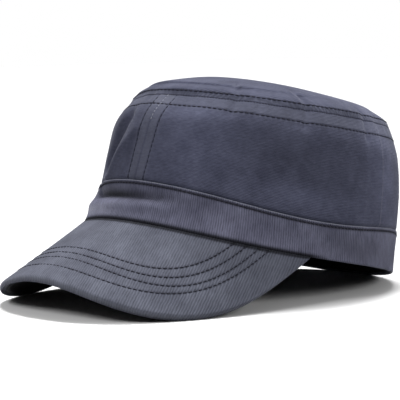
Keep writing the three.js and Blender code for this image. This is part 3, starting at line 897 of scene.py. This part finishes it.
def add_stitches(cap, name, paths, material, pitch_share=1.0, thread_share=1.0):
    """Rows of stitches along paths of points and outward normals. Each is a rounded rod of six rings of six
    points, with a radius of r (1 - u^4)^(1/2) at u from -1 to 1 along it."""
    pitch, half = cap.sewing.pitch * pitch_share, cap.sewing.stitch * pitch_share / 2
    along = np.array([-1, -0.85, -0.4, 0.4, 0.85, 1])
    swell = np.repeat(np.sqrt(np.maximum(1 - along ** 4, 0)), 6)
    angles = np.tile(np.arange(6) * math.pi / 3, 6)
    thread = cap.sewing.thread * thread_share
    rod = np.stack([np.repeat(along, 6) * half, swell * np.cos(angles) * thread,
                    swell * np.sin(angles) * thread], axis=-1)
    numbers = np.arange(36).reshape(6, 6)
    numbers[[0, -1]] = numbers[[0, -1], :1]
    rings, sides = loop_faces(6, 6, False)
    quads = np.roll(numbers[rings, sides % 6], -1, axis=1)
    points = []
    for path, normals in paths:
        strides = np.concatenate([[0], np.cumsum(np.linalg.norm(np.diff(path, axis=0), axis=-1))])
        places = np.arange(0.5, strides[-1] / pitch) * pitch
        forward = unit(along_path(places + half, strides, path) - along_path(places - half, strides, path))
        sideways = unit(np.cross(along_path(places, strides, normals), forward))
        axes = np.stack([forward, sideways, np.cross(forward, sideways)], axis=1)
        points.append(along_path(places, strides, path)[:, None] + rod @ axes)
    points = np.concatenate(points)
    ids = (quads[None] + np.arange(len(points))[:, None, None] * len(rod)).reshape(-1, 4)
    weave, wear = np.zeros((*ids.shape, 2)), np.zeros((points.size // 3, 2))
    settle(add_quads(name, points.reshape(-1, 3), ids, weave, wear, material), None)


def sewn_line(cap, depth, points_at):
    """A line in the cloth, from the function that gives its points at a depth, and its outward normals: the
    way from each point to the one a millimetre further out."""
    low, high = (at_rest(cap, points_at(deep)) for deep in (depth, depth - MM))
    return low, unit(high - low)


def crown_line(cap, turns, sections, lift):
    """A line on the crown's relieved cloth, lifted out of it a little, with its outward normals."""
    relief = crown_relief(cap, turns, sections)
    depth = crown_set_in(cap, sections) - lift
    return sewn_line(cap, depth, lambda deep: cloth(cap, turns, sections, deep, relief))


def build_stitches(cap, material, pale):
    """Stitch rows of the top seam, the front seam, the band's edge and the peak."""
    sewing = cap.sewing
    seam, band_top = length_at(cap, TOP_SEAM_AT), length_at(cap, BAND_TOP_AT)
    around = np.linspace(-math.pi, math.pi, ROUND_POINTS)
    rows = [crown_line(cap, around, section_at(cap, seam + above), 0.2 * sewing.thread)
            for above in (-sewing.row_below, sewing.row_above)]
    add_stitches(cap, "top_seam_stitches", rows, material, thread_share=1.2)
    ditch = crown_line(cap, around, TOP_SEAM_AT, 0)
    add_stitches(cap, "top_seam_ditch_stitches", [ditch], material, 0.55, 0.6)
    up = np.linspace(band_top + 0.5 * MM, seam - sewing.ditch_width, SEAM_POINTS)
    sections = section_at(cap, up)
    middle = front_seam(cap, sections)
    aside = sewing.row_away / speed_round(cap, middle, sections)
    rows = [crown_line(cap, turns, sections, -0.15 * sewing.thread)
            for turns in (middle - aside, middle + aside)]
    add_stitches(cap, "front_seam_stitches", rows, material)
    high = slice(2 * len(sections) // 3, None)
    line = crown_line(cap, middle[high], sections[high], 0)
    add_stitches(cap, "front_seam_pale_stitches", [line], pale, 0.7, 0.9)
    edge = section_at(cap, band_top - sewing.edge_row)
    line = sewn_line(cap, 0.5 * sewing.groove_depth, lambda deep: cloth(cap, around, edge, deep))
    add_stitches(cap, "band_stitches", [line], material, 0.9, 1.25)
    build_peak_stitches(cap, material)


def build_peak_stitches(cap, material):
    """The four stitch rows of the peak, ended where they run under the band."""
    board = peak_board(cap)
    turns = np.linspace(-cap.peak.end_turn, cap.peak.end_turn, 400)
    seat_arcs, seat_lengths, lifts = seat_of(cap, board, turns)
    rim_arcs, rim_lengths = rim_outline(cap, board, turns / cap.peak.end_turn)
    rows = []
    for row in PEAK_ROWS:
        arcs, lengths = row_outline(cap, board, row, ROW_POINTS)
        edge = np.interp(arcs, seat_arcs, seat_lengths)
        shown = lengths > edge + 1.2 * MM
        arcs, lengths, edge = arcs[shown], lengths[shown], edge[shown]
        outs = (lengths - edge) / np.maximum(np.interp(arcs, rim_arcs, rim_lengths) - edge, MM)
        place = (arcs, lengths)
        lift = np.interp(arcs, seat_arcs, lifts) * np.maximum(1 - outs, 0) ** 2
        rows.append(sewn_line(cap, 0.4 * cap.sewing.groove_depth,
                              lambda deep, place=place, lift=lift: board_point(board, *place, deep, lift)))
    add_stitches(cap, "peak_stitches", rows, material)


# Materials


def feed(tree, socket, value):
    """Links an input to another node's output, or sets it to a number, a vector or a colour."""
    if isinstance(value, bpy.types.NodeSocket):
        tree.links.new(value, socket)
    else:
        socket.default_value = (*value, 1) if socket.type == "RGBA" else value


def add_node(tree, kind, values=(), **settings):
    """A shader node with its settings and what its inputs are fed."""
    made = tree.nodes.new(kind)
    for name, value in settings.items():
        setattr(made, name, value)
    for name, value in dict(values).items():
        feed(tree, made.inputs[name], value)
    return made


def blend_colours(tree, factor, first, second, kind="MIX"):
    """Output of a colour mix."""
    values = {0: factor, 6: first, 7: second}
    return add_node(tree, "ShaderNodeMix", values, data_type="RGBA", blend_type=kind).outputs[2]


def scaled(tree, socket, low, high, start=0.0, stop=1.0):
    """Output that maps the range from start to stop onto low to high."""
    values = {"Value": socket, "From Min": start, "From Max": stop, "To Min": low, "To Max": high}
    return add_node(tree, "ShaderNodeMapRange", values).outputs["Result"]


def add_noise(tree, vector, scale, detail, **values):
    """Output of a noise texture at places given by a vector."""
    values = {"Vector": vector, "Scale": scale, "Detail": detail, **values}
    return add_node(tree, "ShaderNodeTexNoise", values).outputs["Fac"]


def read_attribute(tree, name):
    """Output that gives one of the mesh's own numbers."""
    return add_node(tree, "ShaderNodeAttribute", attribute_name=name).outputs["Fac"]


def add_material(name, values):
    """A material with the inputs of its shader fed."""
    material = bpy.data.materials.new(name)
    material.use_nodes = True
    finish(material, values)
    return material


def finish(material, values):
    """Feeds the inputs of a material's shader."""
    shader = material.node_tree.nodes["Principled BSDF"]
    for name, value in values.items():
        feed(material.node_tree, shader.inputs[name], value)


def bumped(tree, height, strength, distance):
    """Output of a normal tipped by a height."""
    values = {"Height": height, "Strength": strength, "Distance": distance}
    return add_node(tree, "ShaderNodeBump", values).outputs[0]


def twill_material(cap, twill):
    """Cotton twill: slanted ribs broken by yarn noise, mottled, paler where rubbed and where a highlight is
    painted, darker where shade is painted in ditches and grooves, lit and shaded by the patches' painted
    light and shade, with a nap that pales where it is seen edge on."""
    material = add_material(twill.name, {"Roughness": 0.9, "Specular IOR Level": 0.15,
                                         "Sheen Roughness": 0.35, "Sheen Tint": (0.8, 0.82, 0.92)})
    tree = material.node_tree
    rib, show = twill.rib * MM, twill.show
    weave = add_node(tree, "ShaderNodeUVMap", uv_map="weave").outputs[0]
    turned = {"Vector": weave, "Rotation": (0, 0, math.radians(twill.slant))}
    turned = add_node(tree, "ShaderNodeMapping", turned).outputs[0]
    stretched = add_node(tree, "ShaderNodeMapping", {"Vector": turned, "Scale": (1, 0.3, 1)}).outputs[0]
    ribs = {"Vector": turned, "Scale": RIB_SCALE / rib, "Distortion": 2.2, "Detail": 2, "Detail Scale": 1.4,
            "Detail Roughness": 0.6}
    ribs = add_node(tree, "ShaderNodeTexWave", ribs).outputs["Fac"]
    yarn = add_noise(tree, stretched, 0.7 / rib, 3, Roughness=0.65)
    place = add_node(tree, "ShaderNodeTexCoord").outputs["Object"]
    cloud = add_noise(tree, place, 60, 4, Roughness=0.6)
    wear = read_attribute(tree, "wear")
    base = tuple(getattr(cap.colours, twill.colour))
    dark, light = (tuple(share * part for part in base) for share in (0.4, 1.75))
    mottle = blend_colours(tree, scaled(tree, cloud, 0, 1, 0.3, 0.7), (0.75, 0.75, 0.77), (1.25, 1.25, 1.23))
    # Painted light and shade of the patches, as a factor on the tone from 0 to 2
    painted_light_factor = scaled(tree, read_attribute(tree, "fade"), 0, 2, -1, 1)
    # Painted shade: the tone is darkened where the wear value is negative, in ditches, grooves and at the
    # seat of band and peak
    painted_shade = scaled(tree, wear, 0.12, 1, -1, 0)
    tone = blend_colours(tree, scaled(tree, ribs, 0.47 - 0.3 * show, 0.47 + 0.3 * show), dark, light)
    tone = blend_colours(tree, scaled(tree, yarn, 0, 0.5, 0.35, 0.7), tone, light)
    for factor in (mottle, painted_light_factor, painted_shade):
        tone = blend_colours(tree, 1.0, tone, factor, "MULTIPLY")
    # Paler where the wear value is positive: partly rubbed wear, partly a painted highlight
    tone = blend_colours(tree, scaled(tree, wear, 0, 0.85), tone, tuple(cap.colours.worn_and_painted_highlight))
    height = blend_colours(tree, 0.8 - 0.45 * show, ribs, yarn)
    # Sheen is turned down where shade is painted
    finish(material, {"Base Color": tone, "Sheen Weight": scaled(tree, wear, 0, 0.25, -0.8, 0),
                      "Normal": bumped(tree, height, 0.7, 0.5 * MM)})
    return material


def plain_material(name, base, roughness, grain):
    """A plain cloth or thread with a fine grain, given in mm, in its colour and relief."""
    base = tuple(base)
    material = add_material(name, {"Roughness": roughness, "Specular IOR Level": 0.2})
    tree = material.node_tree
    place = add_node(tree, "ShaderNodeTexCoord").outputs["Object"]
    noise = add_noise(tree, place, 1 / (grain * MM), 2)
    tone = blend_colours(tree, noise, base, tuple(1.6 * part for part in base))
    finish(material, {"Base Color": tone, "Normal": bumped(tree, noise, 0.3, 0.3 * MM)})
    return material


# Stage


def build_camera(cap):
    """The camera of the photograph, rolled by a small turn."""
    stage = cap.stage
    turns = ((stage.azimuth, "Z"), (math.pi / 2 - stage.elevation, "X"), (stage.roll, "Z"))
    place = Matrix.Translation((0, stage.target_back, stage.target_height))
    for angle, axis in turns:
        place = place @ Matrix.Rotation(angle, 4, axis)
    data = bpy.data.cameras.new("camera")
    data.sensor_width = 36
    data.lens = stage.lens
    data.clip_end = 100
    camera = bpy.data.objects.new("camera", data)
    camera.matrix_world = place @ Matrix.Translation((stage.aside, stage.below, stage.distance))
    bpy.context.collection.objects.link(camera)
    bpy.context.scene.camera = camera


def build_floor(cap):
    """A pale floor that throws only a little light back up."""
    half = cap.stage.floor_half
    mesh = bpy.data.meshes.new("floor")
    corners = [(x * half, y * half, 0) for x, y in ((-1, -1), (1, -1), (1, 1), (-1, 1))]
    mesh.from_pydata(corners, [], [(0, 1, 2, 3)])
    floor = bpy.data.objects.new("floor", mesh)
    material = add_material("pale_floor", {"Roughness": 1, "Specular IOR Level": 0})
    tree = material.node_tree
    ray = add_node(tree, "ShaderNodeLightPath").outputs["Is Diffuse Ray"]
    tone = blend_colours(tree, ray, tuple(cap.colours.floor), tuple(cap.colours.floor_thrown))
    finish(material, {"Base Color": tone})
    mesh.materials.append(material)
    bpy.context.collection.objects.link(floor)


def add_lamp(kind, name, place, aim, **settings):
    """A lamp at a place, turned to its aim."""
    data = bpy.data.lights.new(name, kind)
    for setting, value in settings.items():
        setattr(data, setting, value)
    light = bpy.data.objects.new(name, data)
    turned = (Vector(place) - Vector(aim)).to_track_quat("Z", "Y")
    light.matrix_world = Matrix.Translation(place) @ turned.to_matrix().to_4x4()
    bpy.context.collection.objects.link(light)


def build_world(cap):
    """A pale surround, white where it is seen, that gives more light from above: low + (high - low) z."""
    world = bpy.data.worlds.new("surround")
    world.use_nodes = True
    tree = world.node_tree
    way = add_node(tree, "ShaderNodeTexCoord").outputs["Generated"]
    up = add_node(tree, "ShaderNodeSeparateXYZ", {0: way}).outputs["Z"]
    light = scaled(tree, up, cap.stage.light_low, cap.stage.light_high)
    ray = add_node(tree, "ShaderNodeLightPath").outputs["Is Camera Ray"]
    seen = add_node(tree, "ShaderNodeMix", {0: ray, 2: light, 3: 1}, data_type="FLOAT").outputs[0]
    ground = tree.nodes["Background"]
    feed(tree, ground.inputs["Strength"], seen)
    feed(tree, ground.inputs["Color"], (1, 1, 1))
    bpy.context.scene.world = world


def build_lights(cap):
    """Soft studio light: the surround, a far lamp above and two weaker ones, in front and behind."""
    bpy.context.scene.view_settings.view_transform = "Standard"
    build_world(cap)
    middle = (0, 0, 0.06)
    add_lamp("SUN", "lamp_above", (-0.28, 0.3, 1), (0, 0, 0), angle=math.radians(15), energy=3.6)
    add_lamp("AREA", "lamp_front", (0.1, -1.2, 1.1), middle, size=0.6, energy=11)
    add_lamp("AREA", "lamp_back", (1.3, 0.7, 0.7), middle, size=0.6, energy=9)


# Operators and panel


class CAP_OT_crown(bpy.types.Operator):
    """Build the top panel, the side panels and the back panel"""

    bl_idname = "patrol_cap.crown"
    bl_label = "Crown"

    def execute(self, context):
        cap = context.scene.patrol_cap
        seam = cap.crown.back_seam
        wall = twill_material(cap, WALL_TWILL)
        build_top(cap, twill_material(cap, TOP_TWILL))
        build_wall(cap, "left_side_panel", 0, seam, wall)
        build_wall(cap, "right_side_panel", -seam, 0, wall)
        build_wall(cap, "back_panel", seam, 2 * math.pi - seam, wall)
        return {"FINISHED"}


class CAP_OT_band(bpy.types.Operator):
    """Build the band and the sweatband inside it"""

    bl_idname = "patrol_cap.band"
    bl_label = "Band"

    def execute(self, context):
        cap = context.scene.patrol_cap
        build_band(cap, twill_material(cap, BAND_TWILL))
        build_sweatband(cap, plain_material("sweatband_lining", cap.colours.lining, 0.9, 0.8))
        return {"FINISHED"}


class CAP_OT_peak(bpy.types.Operator):
    """Build the peak and its under cover"""

    bl_idname = "patrol_cap.peak"
    bl_label = "Peak"

    def execute(self, context):
        cap = context.scene.patrol_cap
        build_peak(cap, twill_material(cap, PEAK_TWILL))
        build_under_cover(cap, plain_material("under_cover_lining", cap.colours.lining, 0.9, 0.8))
        return {"FINISHED"}


class CAP_OT_stitches(bpy.types.Operator):
    """Sew the stitch rows of the crown, the band and the peak"""

    bl_idname = "patrol_cap.stitches"
    bl_label = "Stitches"

    def execute(self, context):
        cap = context.scene.patrol_cap
        build_stitches(cap, plain_material("thread", cap.colours.thread, 0.7, 0.5),
                       plain_material("pale_thread", cap.colours.worn_and_painted_highlight, 0.8, 0.5))
        return {"FINISHED"}


class CAP_OT_stage(bpy.types.Operator):
    """Set up the floor, the camera and the lights"""

    bl_idname = "patrol_cap.stage"
    bl_label = "Stage"

    def execute(self, context):
        cap = context.scene.patrol_cap
        build_floor(cap)
        build_camera(cap)
        build_lights(cap)
        return {"FINISHED"}


class CAP_PT_panel(bpy.types.Panel):
    """The cap's sizes, colours and building steps"""

    bl_idname = "CAP_PT_panel"
    bl_label = "Patrol Cap"
    bl_space_type = "VIEW_3D"
    bl_region_type = "UI"
    bl_category = "Patrol Cap"

    def draw(self, context):
        cap = context.scene.patrol_cap
        for operator in OPERATORS:
            self.layout.operator(operator.bl_idname)
        for group in (cap.band, cap.crown, cap.peak, cap.sewing, cap.rest, cap.colours, cap.stage):
            box = self.layout.box()
            box.label(text=group.bl_rna.description)
            for name in group.bl_rna.properties.keys():
                if name not in {"rna_type", "name"}:
                    box.prop(group, name)


OPERATORS = (CAP_OT_stage, CAP_OT_crown, CAP_OT_band, CAP_OT_peak, CAP_OT_stitches)
GROUPS = (BandSizes, CrownSizes, PeakSizes, SewingSizes, RestPlace, ClothColours, StageSizes, CapSettings)
CLASSES = (*GROUPS, *OPERATORS, CAP_PT_panel)


def register():
    """Register the classes and the scene's settings."""
    for item in CLASSES:
        bpy.utils.register_class(item)
    bpy.types.Scene.patrol_cap = PointerProperty(type=CapSettings)


def unregister():
    """Remove the scene's settings and the classes."""
    del bpy.types.Scene.patrol_cap
    for item in reversed(CLASSES):
        bpy.utils.unregister_class(item)


def main():
    """Build the cap on its stage."""
    register()
    bpy.ops.patrol_cap.stage()
    bpy.ops.patrol_cap.crown()
    bpy.ops.patrol_cap.band()
    bpy.ops.patrol_cap.peak()
    bpy.ops.patrol_cap.stitches()


if __name__ == "__main__":
    main()
